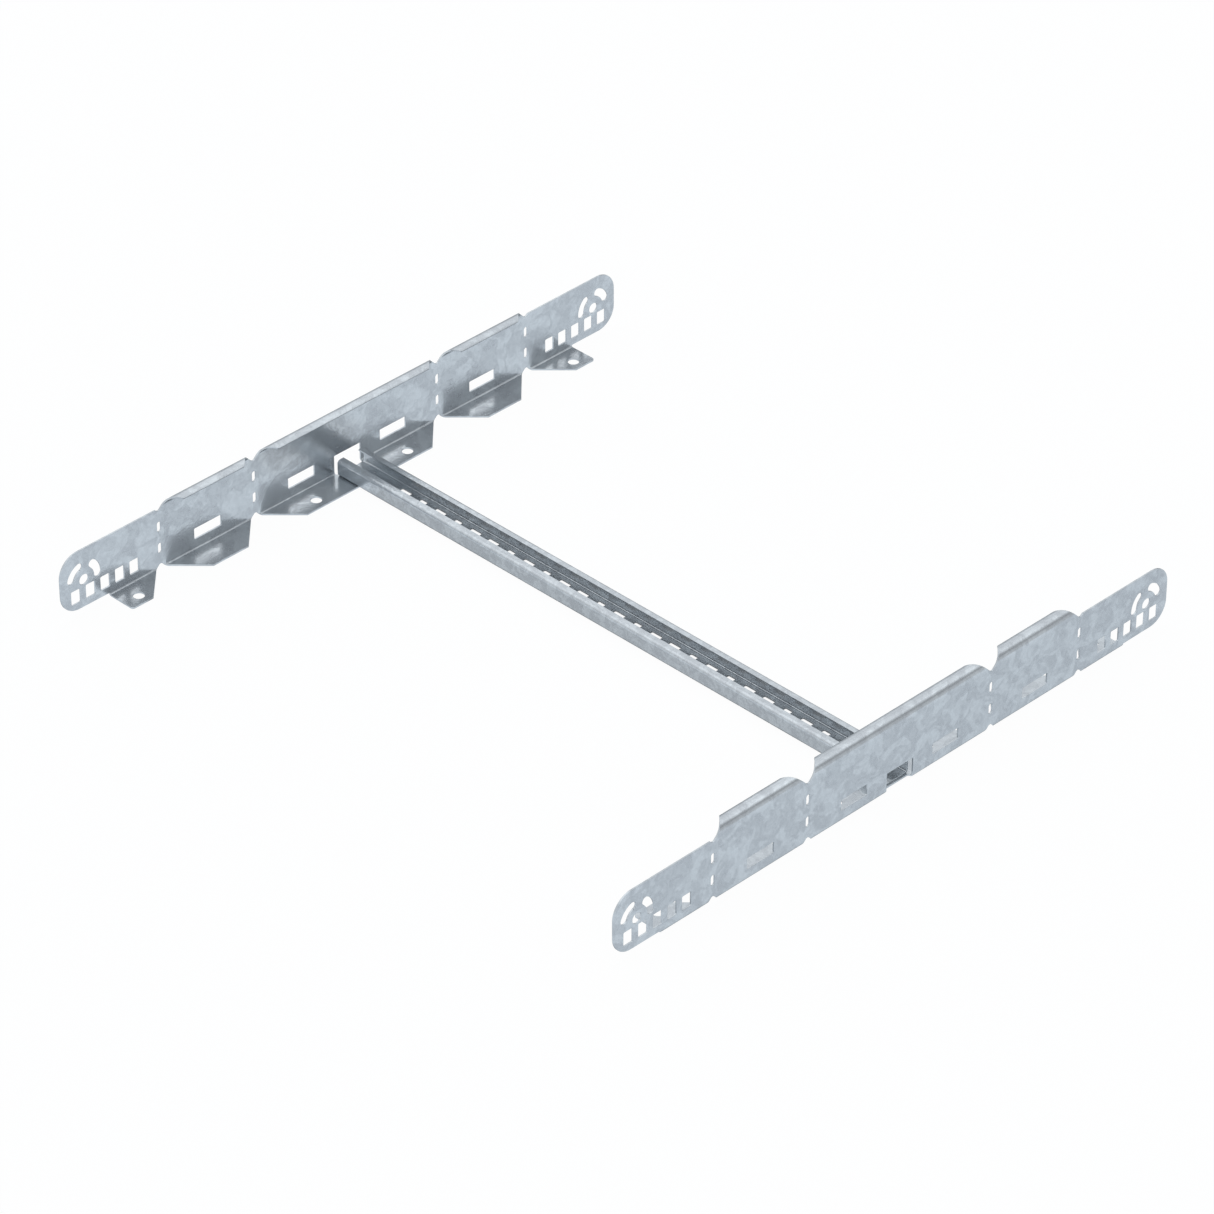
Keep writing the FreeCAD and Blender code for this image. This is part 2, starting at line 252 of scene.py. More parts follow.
class ZincSettings(bpy.types.PropertyGroup):
    """Zinc coat."""

    bright: colour("Bright zinc", "Colour of the lighter crystals", (0.638, 0.678, 0.708))
    dull: colour("Dull zinc", "Colour of the darker crystals", (0.480, 0.508, 0.537))
    spangle_size: length("Spangle size", "Size of the large zinc crystals", 20 * MM)
    patch_size: length("Patch size", "Size of the small patches over the crystals", 8 * MM)
    cloud_size: length("Cloud size", "Size of the wide clouds over the crystals", 60 * MM)
    grain_size: length("Grain size", "Size of the fine grain", 2 * MM)
    rung_share: share(
        "Pattern on the rung", "Size of the rung's pattern as a share of the rails'", 0.4
    )
    relief: length("Relief", "Height of the bright crystals over the dull ones", 0.07 * MM)
    smooth: share("Smoothest", "Roughness of the smoothest zinc", 0.18)
    rough: share("Roughest", "Roughness of the roughest zinc", 0.28)
    metallic: share("Metallic", "Share of the bare metal's sheen; the rest is matt oxide", 0.86)
    edge_tint: share("Edge tint", "How much a steep edge still reflects", 0.35)


class StageSettings(bpy.types.PropertyGroup):
    """Camera, lamps, floor and backdrop."""

    azimuth: angle("Azimuth", "Turn of the camera round the connector", 45.005)
    elevation: angle("Elevation", "Height angle of the camera", 35)
    distance: length("Distance", "Distance of the camera from its aim", 4729.2 * MM)
    aim: place("Aim", "Point that the camera looks at", (14.07 * MM, -20.573 * MM, 30.142 * MM))
    lens: bpy.props.FloatProperty(
        name="Lens", description="Focal length in millimetres", default=182.64
    )
    backdrop: level("Backdrop", "White of the surroundings that the metal reflects", 0.96)
    ceiling: level("Ceiling", "White of the ceiling that the metal reflects", 1.22)
    cool: colour(
        "Cool tint", "Tint of the reflected surroundings and the lamps", (0.975, 1.0, 1.025)
    )
    flag: level("Right flag", "Brightness of the grey flag to the right, at the horizon", 0.72)
    flag_dark: level("Right flag's middle", "Brightness of the darkest part of that flag", 0.41)
    left_flag: level("Left flag", "Brightness of the flag to the left, below the ceiling", 0.84)
    ceiling_lamp: level("Ceiling lamp", "Radiance that the lamp adds to the ceiling", 0.20)
    ceiling_lamp_place: place("Ceiling lamp place", "Centre of the lamp", (-2.45, 1.7, 1.6))
    ceiling_lamp_sides: place("Ceiling lamp sides", "Sides of the lamp", (1.9, 3.2))
    right_lamp: level("Right lamp", "Radiance of the lamp for the far rail's flange", 0.19)
    right_lamp_place: place("Right lamp place", "Centre of the lamp", (0.62, 1.0, 1.0))
    right_lamp_sides: place("Right lamp sides", "Sides of the lamp", (0.7, 1.2))
    floor_size: length("Floor size", "Side of the floor", 9.0)
    floor_tint: colour(
        "Floor tint", "Colour of the floor that keeps the shadow", (0.82, 0.88, 0.93)
    )
    floor_white: share("Floor white", "Share of plain white in the floor seen by the camera", 0.96)
    floor_mirrored: share(
        "Mirrored white", "Share of plain tone in the floor seen in the metal", 0.97
    )
    mirrored_side: colour(
        "Mirrored side", "Tone of the floor by the rails, in the metal", (0.865, 0.92, 0.975)
    )
    # Painted shade: the darker floor by the rung, as the metal sees it
    painted_shade_middle: colour(
        "Mirrored middle", "Tone of the floor by the rung, in the metal", (0.68, 0.705, 0.73)
    )
    # Painted shadow on the floor straight under the rung, as the metal sees it
    painted_shadow_under_rung: share(
        "Floor under the rung", "Light left on the floor straight under the rung", 0.35
    )


# Modelling helpers

class Fold:
    """Mid-line of a folded sheet whose bends all turn the same way, followed by distance."""

    def __init__(self, start, heading, thickness):
        self.start = start
        self.heading = heading
        self.thickness = thickness
        self.runs = []

    def flat(self, size):
        """Adds a flat run."""
        self.runs.append((size, 0.0))

    def bend(self, outside_radius, turn):
        """Adds a bend."""
        self.runs.append(((outside_radius - self.thickness / 2) * turn, turn))

    def breaks(self):
        """Distances at which the runs start and end."""
        places = [0.0]
        for size, turn in self.runs:
            places.append(places[-1] + size)
        return places

    def at(self, distance, outward):
        """Point (a, b) at a distance along the sheet, moved outward from its mid-line."""
        a, b = self.start
        heading = self.heading
        left = distance
        for size, turn in self.runs:
            step = min(left, size)
            if turn == 0:
                a += step * math.cos(heading)
                b += step * math.sin(heading)
            else:
                radius = size / turn
                turned = heading + step / radius
                a += radius * (math.sin(turned) - math.sin(heading))
                b += radius * (math.cos(heading) - math.cos(turned))
                heading = turned
            left -= step
            if left <= 0:
                break
        a += left * math.cos(heading) + outward * math.sin(heading)
        b += left * math.sin(heading) - outward * math.cos(heading)
        return a, b


def finish_primitive(name):
    """Puts the new primitive's place and scale into its mesh and names it."""
    piece = bpy.context.object
    piece.name = name
    piece.data.name = name
    bpy.ops.object.transform_apply(location=True, rotation=True, scale=True)
    return piece


def add_block(name, low, high, turn=0.0):
    """Block between two corners, turned about its upright middle line."""
    low, high = Vector(low), Vector(high)
    bpy.ops.object.select_all(action="DESELECT")
    bpy.ops.mesh.primitive_cube_add(
        size=1, location=(low + high) / 2, scale=high - low, rotation=(0, 0, turn)
    )
    return finish_primitive(name)


def add_disc(name, centre, radius, depth, steps):
    """Upright cylinder round a centre."""
    bpy.ops.object.select_all(action="DESELECT")
    bpy.ops.mesh.primitive_cylinder_add(vertices=steps, radius=radius, depth=depth, location=centre)
    return finish_primitive(name)


def select_only(piece):
    """Makes a piece the only selected object and the active one."""
    bpy.ops.object.select_all(action="DESELECT")
    piece.select_set(True)
    bpy.context.view_layer.objects.active = piece


def open_mesh(piece):
    """Opens a piece in edit mode with all of it selected."""
    select_only(piece)
    bpy.ops.object.mode_set(mode="EDIT")
    bpy.ops.mesh.select_mode(type="EDGE")
    bpy.ops.mesh.select_all(action="SELECT")


def mend_mesh(piece):
    """Joins the points of a piece that coincide and turns all its faces outward."""
    open_mesh(piece)
    bpy.ops.mesh.remove_doubles(threshold=TINY)
    bpy.ops.mesh.normals_make_consistent(inside=False)
    bpy.ops.object.mode_set(mode="OBJECT")


def round_corners(piece, radius, steps, corners=None):
    """Rounds the upright edges of a piece, all of them or those at the given (x, y) corners."""
    def wanted(edge):
        first, last = (vertex.co for vertex in edge.verts)
        if (first.xy - last.xy).length > TINY or abs(first.z - last.z) < TINY:
            return False
        return corners is None or any(
            (first.xy - Vector(corner)).length < TINY for corner in corners
        )

    open_mesh(piece)
    bpy.ops.mesh.select_all(action="DESELECT")
    mesh = bmesh.from_edit_mesh(piece.data)
    for edge in mesh.edges:
        edge.select = wanted(edge)
    mesh.select_flush_mode()
    bmesh.update_edit_mesh(piece.data)
    bpy.ops.mesh.bevel(
        offset=radius, offset_type="OFFSET", segments=steps, affect="EDGES", clamp_overlap=False
    )
    bpy.ops.object.mode_set(mode="OBJECT")


def copy_piece(piece, name, matrix):
    """Copy of a piece with its own mesh, moved or mirrored by a matrix."""
    mesh = piece.data.copy()
    mesh.name = name
    mesh.transform(matrix)
    twin = bpy.data.objects.new(name, mesh)
    bpy.context.collection.objects.link(twin)
    return twin


def punch(blank, tools):
    """Cuts a set of tools that don't touch each other out of a blank."""
    cutter = tools[0]
    select_only(cutter)
    for tool in tools:
        tool.select_set(True)
    if len(tools) > 1:
        bpy.ops.object.join()
    select_only(blank)
    cut = blank.modifiers.new("Punch", "BOOLEAN")
    cut.operation = "DIFFERENCE"
    cut.solver = "EXACT"
    cut.object = cutter
    bpy.ops.object.modifier_apply(modifier=cut.name)
    bpy.data.objects.remove(cutter)


def fold_blank(blank, fold, place_point, sheet):
    """Scores a flat blank across its bends and folds it.

    In the flat blank, x is the distance across the folds, y runs along them and the outer
    side of the sheet faces down. place_point turns (along, a, b) into a point of the piece.
    """
    places = fold.breaks()
    scores = set()
    for (size, turn), start in zip(fold.runs, places):
        if turn:
            steps = max(2, round(sheet.bend_steps * turn / QUARTER_TURN))
            scores.update(start + size * step / steps for step in range(steps + 1))
    open_mesh(blank)
    for score in sorted(scores):
        if TINY < score < places[-1] - TINY:
            bpy.ops.mesh.select_all(action="SELECT")
            bpy.ops.mesh.bisect(plane_co=(score, 0, 0), plane_no=(1, 0, 0))
    bpy.ops.object.mode_set(mode="OBJECT")
    for vertex in blank.data.vertices:
        a, b = fold.at(vertex.co.x, -vertex.co.z)
        vertex.co = place_point(vertex.co.y, a, b)
    mend_mesh(blank)


def ease_edges(piece, sheet):
    """Rounds the cut edges a little, as the zinc does, and shades the bends smooth."""
    select_only(piece)
    ease = piece.modifiers.new("Ease", "BEVEL")
    ease.width = sheet.edge_ease
    ease.segments = EASE_SEGMENTS
    ease.limit_method = "ANGLE"
    ease.angle_limit = EASE_ANGLE
    ease.use_clamp_overlap = False
    bpy.ops.object.modifier_apply(modifier=ease.name)
    bpy.ops.object.shade_smooth()
    shading = piece.modifiers.new("Shading", "WEIGHTED_NORMAL")
    shading.mode = "FACE_AREA"
    shading.weight = FACE_WEIGHT
    shading.keep_sharp = True
    bpy.ops.object.modifier_apply(modifier=shading.name)


# Node trees

def opaque(tone):
    """Colour with full alpha."""
    return (*tone, 1.0)


class Graph:
    """Node tree that grows node by node; a source is another node's output or a plain value."""

    def __init__(self, tree):
        self.nodes = tree.nodes
        self.links = tree.links

    def feed(self, socket, source):
        """Links a source to a socket, or sets the socket to it."""
        if isinstance(source, bpy.types.NodeSocket):
            self.links.new(source, socket)
        else:
            socket.default_value = source

    def calculate(self, operation, *sources):
        """Result of a math operation."""
        node = self.nodes.new("ShaderNodeMath")
        node.operation = operation
        for socket, source in zip(node.inputs, sources):
            self.feed(socket, source)
        return node.outputs[0]

    def mix(self, kind, low, high, factor):
        """Mix of two numbers (FLOAT) or two colours (RGBA)."""
        node = self.nodes.new("ShaderNodeMix")
        node.data_type = kind
        for name, source in (("A", low), ("B", high), ("Factor", factor)):
            self.feed(node.inputs[name], source)
        return node.outputs["Result"]

    def step(self, source, edge, below=0.0, above=1.0):
        """Soft step of a source from one value to another, between the two ends of an edge."""
        node = self.nodes.new("ShaderNodeMapRange")
        node.interpolation_type = "SMOOTHSTEP"
        names = ("Value", "From Min", "From Max", "To Min", "To Max")
        for name, value in zip(names, (source, *edge, below, above)):
            self.feed(node.inputs[name], value)
        return node.outputs["Result"]

    def split(self, source):
        """Node whose outputs X, Y and Z are the parts of a vector."""
        node = self.nodes.new("ShaderNodeSeparateXYZ")
        self.feed(node.inputs[0], source)
        return node


# Zinc finish

def spangle_group():
    """Node group for hot dip zinc: crystals, patches and soft clouds over them, and fine grain."""
    tree = bpy.data.node_groups.new("Zinc spangle", "ShaderNodeTree")
    sockets = {
        "INPUT": {
            "NodeSocketFloat": (*ZINC_LAYERS, "Smoothest", "Roughest"),
            "NodeSocketColor": ("Bright", "Dull"),
        },
        "OUTPUT": {"NodeSocketColor": ("Colour",), "NodeSocketFloat": ("Roughness", "Height")},
    }
    for direction, kinds in sockets.items():
        for kind, names in kinds.items():
            for name in names:
                tree.interface.new_socket(name=name, in_out=direction, socket_type=kind)
    graph = Graph(tree)
    given = graph.nodes.new("NodeGroupInput").outputs
    result = graph.nodes.new("NodeGroupOutput").inputs
    position = graph.nodes.new("ShaderNodeTexCoord").outputs["Object"]

    mottle = 0.0
    for size, layer in ZINC_LAYERS.items():
        noise = graph.nodes.new("ShaderNodeTexNoise")
        noise.inputs["Detail"].default_value = layer["detail"]
        noise.inputs["Roughness"].default_value = NOISE_ROUGHNESS
        noise.inputs["Distortion"].default_value = layer["distortion"]
        graph.feed(noise.inputs["Vector"], position)
        graph.feed(noise.inputs["Scale"], graph.calculate("DIVIDE", 1.0, given[size]))
        pattern = graph.step(noise.outputs["Fac"], layer["levels"])
        mottle = graph.mix("FLOAT", mottle, pattern, layer["share"])
    roughness = graph.mix("FLOAT", given["Roughest"], given["Smoothest"], mottle)
    graph.feed(result["Colour"], graph.mix("RGBA", given["Dull"], given["Bright"], mottle))
    graph.feed(result["Roughness"], roughness)
    graph.feed(result["Height"], mottle)
    return tree


def zinc_material(name, zinc, pattern_share=1.0):
    """Galvanised steel in a zinc coat whose pattern has a share of its full size."""
    material = bpy.data.materials.new(name)
    material.use_nodes = True
    graph = Graph(material.node_tree)
    shader = graph.nodes["Principled BSDF"]
    shader.inputs["Metallic"].default_value = zinc.metallic
    shader.inputs["Specular Tint"].default_value = opaque([zinc.edge_tint] * 3)
    spangle = graph.nodes.new("ShaderNodeGroup")
    spangle.node_tree = bpy.data.node_groups.get("Zinc spangle") or spangle_group()
    values = {
        "Spangle size": zinc.spangle_size * pattern_share,
        "Patch size": zinc.patch_size * pattern_share,
        "Cloud size": zinc.cloud_size * pattern_share,
        "Grain size": zinc.grain_size * pattern_share,
        "Bright": opaque(zinc.bright),
        "Dull": opaque(zinc.dull),
        "Smoothest": zinc.smooth,
        "Roughest": zinc.rough,
    }
    for socket, value in values.items():
        spangle.inputs[socket].default_value = value
    bump = graph.nodes.new("ShaderNodeBump")
    bump.inputs["Strength"].default_value = 1.0
    bump.inputs["Distance"].default_value = zinc.relief
    graph.feed(bump.inputs["Height"], spangle.outputs["Height"])
    graph.feed(shader.inputs["Normal"], bump.outputs["Normal"])
    graph.feed(shader.inputs["Base Color"], spangle.outputs["Colour"])
    graph.feed(shader.inputs["Roughness"], spangle.outputs["Roughness"])
    return material


def dress(piece, node, material):
    """Gives a finished piece its material and lets it stand for its solid."""
    piece.data.materials.clear()
    piece.data.materials.append(material)
    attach(piece, "root")
    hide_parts(node)


# Side rails

def rail_fold(rail, sheet):
    """Section from the flange's free edge, up the web, to the lip's free edge."""
    turned = math.sin(rail.lip_roll_turn)
    lip_rise = rail.lip_ease + (rail.lip_roll - rail.lip_ease) * turned
    flange = RAIL_HIGH.x - RAIL_LOW.x
    fold = Fold((RAIL_LOW.x, sheet.thickness / 2), 0.0, sheet.thickness)
    fold.flat(flange - rail.flange_bend)
    fold.bend(rail.flange_bend, QUARTER_TURN)
    fold.flat(RAIL_HIGH.z - lip_rise - rail.flange_bend)
    fold.bend(rail.lip_roll, rail.lip_roll_turn)
    fold.bend(rail.lip_ease, rail.lip_ease_turn)
    return fold


class RailBlank:
    """Flat blank of a side rail with the punches that shape it.

    In the blank, x is the distance across the folds from the flange's free edge and y runs
    along the rail.
    """

    def __init__(self, rail, sheet):
        self.rail = rail
        self.sheet = sheet
        self.fold = rail_fold(rail, sheet)
        breaks = self.fold.breaks()
        self.web_start = breaks[2]  # past the flange and the bend under the web
        self.free_edge = breaks[-1]
        self.end = RAIL_HIGH.y
        self.deep = sheet.thickness / 2 + PUNCH_PAST

    def web(self, height):
        """Distance in the blank of a height on the web."""
        return self.web_start + height - self.rail.flange_bend

    def flange(self, inset):
        """Distance in the blank of an inset from the outer face, on the flange."""
        return RAIL_HIGH.x - RAIL_LOW.x - inset

    def block(self, low, high, turn=0.0):
        """Square-cornered punch between two corners of the blank."""
        return add_block("Punch", (*low, -self.deep), (*high, self.deep), turn)

    def slot(self, x, y, across, along, radius):
        """Punch round a centre, with rounded corners."""
        tool = self.block((x - across / 2, y - along / 2), (x + across / 2, y + along / 2))
        round_corners(tool, radius, self.sheet.arc_steps // 2)
        return tool

    def disc(self, x, y, diameter):
        """Round punch."""
        return add_disc("Punch", (x, y, 0), diameter / 2, 2 * self.deep, 4 * self.sheet.arc_steps)

    def outline(self):
        """Blank with its end plates and tabs cut free and their corners rounded."""
        rail, end = self.rail, self.end
        half = self.sheet.thickness / 2
        blank = add_block("Rail blank", (0, -end, -half), (self.free_edge, end, half))
        plate_top = self.web(rail.plate_top)
        tab_end = end - rail.tab_from_end
        past = end + PUNCH_PAST
        top_edge = self.free_edge + PUNCH_PAST
        tools = []
        for side in SIDES:
            upper = sorted((side * rail.outer_bend_line, side * past))
            lower = sorted((side * tab_end, side * past))
            tools.append(self.block((plate_top, upper[0]), (top_edge, upper[1])))
            tools.append(self.block((-PUNCH_PAST, lower[0]), (self.web_start, lower[1])))
        punch(blank, tools)
        steps = self.sheet.arc_steps
        for radius, facets, x, y in (
            (rail.plate_top_round, 2 * steps, plate_top, end),
            (rail.plate_bottom_round, 2 * steps, self.web_start, end),
            (rail.tab_round, steps, 0, tab_end),
        ):
            round_corners(blank, radius, facets, [(x, side * y) for side in SIDES])
        return blank

    def notch(self, line, height, way):
        """Square block standing on its corner, which is the point of a notch of 90 degrees.

        way is 1 for a notch that opens to the lip and -1 for one that opens to the flange.
        """
        point = self.web(height)
        reach = self.free_edge - point if way > 0 else point
        side = (reach + PUNCH_PAST) * math.sqrt(2)
        middle = point + way * side / math.sqrt(2)
        half = side / 2
        tool = self.block(
            (middle - half, line - half), (middle + half, line + half), QUARTER_TURN / 2
        )
        round_corners(tool, self.rail.notch_round, self.sheet.arc_steps, [(point, line)])
        return tool

    def bend_slot(self, line, height):
        """Slot with round ends: a disc whose halves are moved apart by the straight length."""
        rail = self.rail
        straight = rail.bend_slot_length - rail.bend_slot_width
        tool = self.disc(self.web(height), line, rail.bend_slot_width)
        for vertex in tool.data.vertices:
            across = vertex.co.x - self.web(height)
            vertex.co.x += math.copysign(straight / 2, across if abs(across) > TINY else 1)
        return tool

    def arc_slot(self, side, start):
        """Tools of one arc slot: the curved middle, spun round the pivot, and its two ends."""
        rail = self.rail
        pivot = Vector((self.web(rail.pivot_height), side * (self.end - rail.pivot_from_end), 0))

        def around(radius, turn):
            return pivot + Vector((math.sin(turn), side * math.cos(turn), 0)) * radius

        bpy.ops.object.select_all(action="DESELECT")
        bpy.ops.mesh.primitive_plane_add(size=1)
        strip = finish_primitive("Punch")
        inner = around(rail.arc_radius - rail.arc_width / 2, start)
        outer = around(rail.arc_radius + rail.arc_width / 2, start)
        deep = Vector((0, 0, self.deep))
        corners = (inner - deep, outer - deep, inner + deep, outer + deep)
        for vertex, corner in zip(strip.data.vertices, corners):
            vertex.co = corner
        open_mesh(strip)
        bpy.ops.mesh.spin(
            steps=self.sheet.arc_steps, angle=side * rail.arc_turn, center=pivot, axis=(0, 0, 1)
        )
        bpy.ops.object.mode_set(mode="OBJECT")
        mend_mesh(strip)
        ends = []
        for turn in (start, start + rail.arc_turn):
            centre = around(rail.arc_radius, turn)
            ends.append(self.disc(centre.x, centre.y, rail.arc_width))
        return strip, ends

    def punch_all(self, blank):
        """Punches the notches, the holes and the slots."""
        rail = self.rail
        notches = []
        slots = []
        for side in SIDES:
            for line in (side * rail.inner_bend_line, side * rail.outer_bend_line):
                notches.append(self.notch(line, rail.notch_top, 1))
                notches.append(self.notch(line, rail.notch_bottom, -1))
                slots.append(self.bend_slot(line, rail.bend_slot_low))
                slots.append(self.bend_slot(line, rail.bend_slot_high))
        punch(blank, notches)
        punch(blank, slots)

        window_start = self.flange(rail.window_depth)
        window_end = self.web(rail.window_top)
        half = rail.window_width / 2
        window = self.block((window_start, -half), (window_end, half))
        for x, radius in ((window_start, rail.window_round), (window_end, rail.web_slot_round)):
            round_corners(window, radius, self.sheet.arc_steps, [(x, -half), (x, half)])
        holes = [window]
        panels = (rail.inner_bend_line / 2, (rail.inner_bend_line + rail.outer_bend_line) / 2)
        curved = []
        ends = []
        for side in SIDES:
            for along in panels:
                holes.append(self.slot(
                    self.web(rail.web_slot_centre), side * along,
                    rail.web_slot_height, rail.web_slot_length, rail.web_slot_round,
                ))
            for number in range(1, rail.square_count + 1):
                holes.append(self.slot(
                    self.web(rail.square_centre), side * (self.end - number * rail.square_pitch),
                    rail.square_height, rail.square_width, rail.square_round,
                ))
            hole_line = self.flange(rail.flange_hole_inset)
            for along in (panels[0], self.end - rail.tab_hole_from_end):
                holes.append(self.disc(hole_line, side * along, rail.flange_hole))
            pivot = (self.web(rail.pivot_height), side * (self.end - rail.pivot_from_end))
            holes.append(self.disc(*pivot, rail.pivot_diameter))
            for start in (rail.outer_arc_start, rail.inner_arc_start):
                strip, discs = self.arc_slot(side, start)
                curved.append(strip)
                ends += discs
        punch(blank, holes)
        punch(blank, curved)
        punch(blank, ends)


class MESH_OT_ladder_side_rails(bpy.types.Operator):
    """Make both side rails: blank, punches, folds and zinc"""

    bl_idname = "mesh.ladder_side_rails"
    bl_label = "Side rails"
    bl_options = {"REGISTER", "UNDO"}

    def execute(self, context):
        sheet, rail = context.scene.ladder_sheet, context.scene.ladder_rail
        work = RailBlank(rail, sheet)
        right = work.outline()
        work.punch_all(right)
        fold_blank(right, work.fold, lambda along, a, b: Vector((a, along, b)), sheet)
        left = copy_piece(right, "left_rail", Matrix.Scale(-1, 4, (1, 0, 0)))
        mend_mesh(left)
        right.name = "right_rail"
        material = zinc_material("Zinc on the rails", context.scene.ladder_zinc)
        for piece, node in ((right, "side_rail_right"), (left, "side_rail_left")):
            ease_edges(piece, sheet)
            dress(piece, node, material)
        return {"FINISHED"}


# Rung

class MESH_OT_ladder_rung(bpy.types.Operator):
    """Make the channel rung with its floor slots"""

    bl_idname = "mesh.ladder_rung"
    bl_label = "Rung"
    bl_options = {"REGISTER", "UNDO"}

    def execute(self, context):
        sheet, rung = context.scene.ladder_sheet, context.scene.ladder_rung
        width = RUNG_HIGH.y - RUNG_LOW.y
        height = RUNG_HIGH.z - RUNG_LOW.z
        half = sheet.thickness / 2
        fold = Fold((-rung.mouth / 2, RUNG_HIGH.z - half), 2 * QUARTER_TURN, sheet.thickness)
        lip = (width - rung.mouth) / 2 - rung.bend
        wall = height - 2 * rung.bend
        floor = width - 2 * rung.bend
        fold.flat(lip)
        for flat in (wall, floor, wall, lip):
            fold.bend(rung.bend, QUARTER_TURN)
            fold.flat(flat)
        half_length = RUNG_HIGH.x
        free_edge = fold.breaks()[-1]
        blank = add_block("rung", (0, -half_length, -half), (free_edge, half_length, half))
        sizes = {"L": rung.long_slot, "S": rung.short_slot}
        each_side = int((half_length - rung.plain_end) / rung.slot_pitch)
        first_of = {}
        tools = []
        for index in range(-each_side, each_side + 1):
            kind = rung.slot_order[abs(index) % len(rung.slot_order)]
            if kind not in first_of:
                size = Vector((rung.slot_across / 2, sizes[kind] / 2, half + PUNCH_PAST))
                centre = Vector((free_edge / 2, 0, 0))
                first_of[kind] = add_block("Slot punch", centre - size, centre + size)
                round_corners(first_of[kind], rung.slot_round, sheet.arc_steps // 2)
            move = Matrix.Translation((0, index * rung.slot_pitch, 0))
            tools.append(copy_piece(first_of[kind], "Slot punch", move))
        for pattern in first_of.values():
            bpy.data.objects.remove(pattern)
        punch(blank, tools)
        fold_blank(blank, fold, lambda along, a, b: Vector((along, a, b)), sheet)
        ease_edges(blank, sheet)
        blank.name = "channel_rung"
        zinc = context.scene.ladder_zinc
        dress(blank, "cross_rung", zinc_material("Zinc on the rung", zinc, zinc.rung_share))
        return {"FINISHED"}


# Stage

def floor_material(stage):
    """White floor that keeps a faint shadow, to the camera and in what the metal reflects. In the
    metal it also carries painted shade: a painted shadow under the rung and a darker middle by the
    rung.
    """
    material = bpy.data.materials.new("White floor")
    material.use_nodes = True
    graph = Graph(material.node_tree)
    graph.nodes.clear()
    ray = graph.nodes.new("ShaderNodeLightPath").outputs
    in_metal = graph.calculate("MAXIMUM", ray["Is Glossy Ray"], ray["Is Transmission Ray"])
    spot = graph.split(graph.nodes.new("ShaderNodeTexCoord").outputs["Object"])

    def beyond(axis, edge):
        """0 in the middle of the floor and 1 far from it along an axis."""
        return graph.step(graph.calculate("ABSOLUTE", spot.outputs[axis]), edge)

    # Painted shade in the metal's floor: a painted shadow straight under the rung, inside a darker
    # middle by the rung, then the lighter tone by the rails
    shade = opaque(stage.painted_shadow_under_rung * part for part in stage.painted_shade_middle)
    middle = graph.mix(
        "RGBA", shade, opaque(stage.painted_shade_middle), beyond("Y", UNDER_RUNG_SHADOW_EDGE)
    )
    by_rails = graph.calculate(
        "MAXIMUM", beyond("X", RAIL_SHADE_EDGE), beyond("Y", RUNG_SHADE_EDGE)
    )
    tone = graph.mix("RGBA", middle, opaque(stage.mirrored_side), by_rails)
    glow = graph.nodes.new("ShaderNodeEmission")
    graph.feed(glow.inputs["Color"], graph.mix("RGBA", WHITE, tone, in_metal))
    matt = graph.nodes.new("ShaderNodeBsdfDiffuse")
    matt.inputs["Color"].default_value = opaque(stage.floor_tint)
    glow_in_metal = graph.calculate("MULTIPLY", in_metal, stage.floor_mirrored)
    glow_share = graph.calculate(
        "MULTIPLY_ADD", ray["Is Camera Ray"], stage.floor_white, glow_in_metal
    )
    mix = graph.nodes.new("ShaderNodeMixShader")
    for socket, source in zip(mix.inputs, (glow_share, matt.outputs[0], glow.outputs[0])):
        graph.feed(socket, source)
    output = graph.nodes.new("ShaderNodeOutputMaterial")
    graph.feed(output.inputs["Surface"], mix.outputs[0])
    return material


def build_world(stage):
    """Surroundings for the metal to reflect: white, with a soft grey flag to either side."""
    world = bpy.data.worlds.new("White room")
    bpy.context.scene.world = world
    world.use_nodes = True
    graph = Graph(world.node_tree)
    way = graph.nodes.new("ShaderNodeTexCoord").outputs["Generated"]
    height = graph.split(way).outputs["Z"]

    def flag(side, heights, tones):
        """Grey flag on the diagonal to one side, whose tone changes with the height."""
        toward = graph.nodes.new("ShaderNodeVectorMath")
        toward.operation = "DOT_PRODUCT"
        diagonal = side * math.sin(QUARTER_TURN / 2)
        toward.inputs[1].default_value = (diagonal, diagonal, 0.0)
        graph.feed(toward.inputs[0], way)
        ramp = graph.nodes.new("ShaderNodeValToRGB")
        ramp.color_ramp.interpolation = "EASE"
        stops = ramp.color_ramp.elements
        while len(stops) < len(tones):
            stops.new(0.5)
        for stop, stop_height, grey in zip(stops, heights, tones):
            stop.position = stop_height
            stop.color = opaque([grey] * 3)
        graph.feed(ramp.inputs["Fac"], height)
        inside = graph.step(toward.outputs["Value"], FLAG_EDGE)
        return graph.mix("FLOAT", 1.0, ramp.outputs["Color"], inside)

    right_tones = (stage.flag, stage.flag_dark, stage.flag_dark, 1.0)
    right_flag = flag(1, RIGHT_FLAG_HEIGHTS, right_tones)
    left_flag = flag(-1, LEFT_FLAG_HEIGHTS, (stage.left_flag, 1.0))
    flags = graph.calculate("MULTIPLY", right_flag, left_flag)
    room = graph.step(height, CEILING_EDGE, stage.backdrop, stage.ceiling)
    by_camera = graph.nodes.new("ShaderNodeLightPath").outputs["Is Camera Ray"]
    strength = graph.calculate("MAXIMUM", by_camera, graph.calculate("MULTIPLY", room, flags))
    background = graph.nodes["Background"]
    graph.feed(background.inputs["Strength"], strength)
    graph.feed(background.inputs["Color"], graph.mix("RGBA", opaque(stage.cool), WHITE, by_camera))


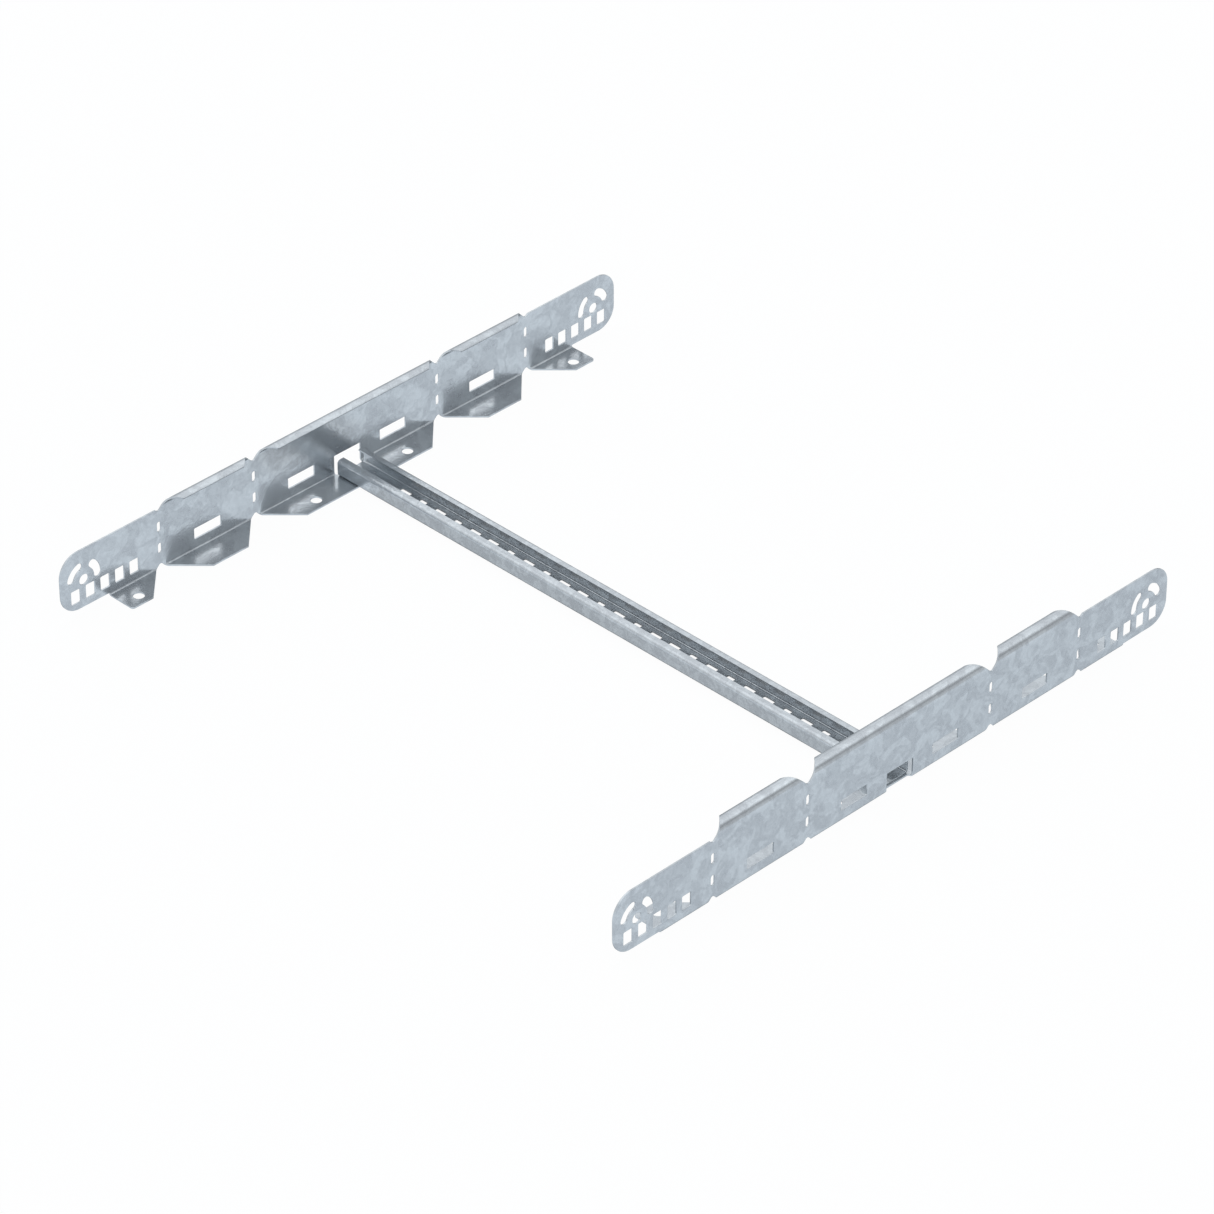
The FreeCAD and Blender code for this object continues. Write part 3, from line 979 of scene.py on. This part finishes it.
def add_lamp(name, centre, sides, radiance, tint):
    """Rectangular lamp of a given radiance and tint that faces straight down."""
    data = bpy.data.lights.new(name, "AREA")
    data.shape = "RECTANGLE"
    data.size, data.size_y = sides
    data.energy = radiance * math.pi * data.size * data.size_y
    data.color = tint
    lamp = bpy.data.objects.new(name, data)
    bpy.context.collection.objects.link(lamp)
    lamp.location = centre
    lamp.visible_camera = False
    lamp.rotation_mode = "QUATERNION"
    lamp.rotation_quaternion = Vector((0.0, 0.0, -1.0)).to_track_quat("-Z", "Y")


class SCENE_OT_ladder_stage(bpy.types.Operator):
    """Set up the white floor, the surroundings, the lamps and the camera"""

    bl_idname = "scene.ladder_stage"
    bl_label = "Stage"
    bl_options = {"REGISTER", "UNDO"}

    def execute(self, context):
        scene, stage = context.scene, context.scene.ladder_stage
        scene.view_settings.view_transform = "Standard"
        build_world(stage)
        bpy.ops.object.select_all(action="DESELECT")
        bpy.ops.mesh.primitive_plane_add(size=stage.floor_size, location=(0, 0, -FLOOR_DROP))
        floor = finish_primitive("floor")
        floor.data.materials.append(floor_material(stage))
        floor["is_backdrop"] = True
        for lamp in ("ceiling_lamp", "right_lamp"):
            centre, sides = getattr(stage, lamp + "_place"), getattr(stage, lamp + "_sides")
            add_lamp(lamp, centre, sides, getattr(stage, lamp), stage.cool)

        turn, rise = stage.azimuth, stage.elevation
        flat = math.cos(rise)
        back = Vector((math.sin(turn) * flat, -math.cos(turn) * flat, math.sin(rise)))
        data = bpy.data.cameras.new("camera")
        data.lens = stage.lens
        data.clip_start = NEAREST_SEEN
        data.clip_end = FARTHEST_SEEN
        camera = bpy.data.objects.new("camera", data)
        context.collection.objects.link(camera)
        camera.location = Vector(stage.aim) + back * stage.distance
        camera.rotation_euler = (QUARTER_TURN - rise, 0.0, turn)
        scene.camera = camera
        return {"FINISHED"}


class VIEW3D_PT_ladder_connector(bpy.types.Panel):
    """Sidebar panel with the sizes and the steps"""

    bl_label = "Cable ladder connector"
    bl_space_type = "VIEW_3D"
    bl_region_type = "UI"
    bl_category = "Connector"

    def draw(self, context):
        layout = self.layout
        for operator in (MESH_OT_ladder_side_rails, MESH_OT_ladder_rung, SCENE_OT_ladder_stage):
            layout.operator(operator.bl_idname)
        for attribute in SETTINGS:
            group = getattr(context.scene, attribute)
            box = layout.box()
            box.label(text=group.bl_rna.name)
            for name in group.bl_rna.properties.keys():
                if name not in ("rna_type", "name"):
                    box.prop(group, name)


SETTINGS = {
    "ladder_sheet": SheetSettings,
    "ladder_rail": RailSettings,
    "ladder_rung": RungSettings,
    "ladder_zinc": ZincSettings,
    "ladder_stage": StageSettings,
}
CLASSES = (
    *SETTINGS.values(),
    MESH_OT_ladder_side_rails,
    MESH_OT_ladder_rung,
    SCENE_OT_ladder_stage,
    VIEW3D_PT_ladder_connector,
)


def register():
    for item in CLASSES:
        bpy.utils.register_class(item)
    for attribute, group in SETTINGS.items():
        setattr(bpy.types.Scene, attribute, bpy.props.PointerProperty(type=group))


def unregister():
    for attribute in SETTINGS:
        delattr(bpy.types.Scene, attribute)
    for item in reversed(CLASSES):
        bpy.utils.unregister_class(item)


def main():
    register()
    bpy.ops.mesh.ladder_side_rails()
    bpy.ops.mesh.ladder_rung()
    bpy.ops.scene.ladder_stage()
    sizes = {"solid": SOLID_BOX, "dressed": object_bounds()}
    plain = {name: [list(corner) for corner in box] for name, box in sizes.items()}


if __name__ == "__main__":
    main()
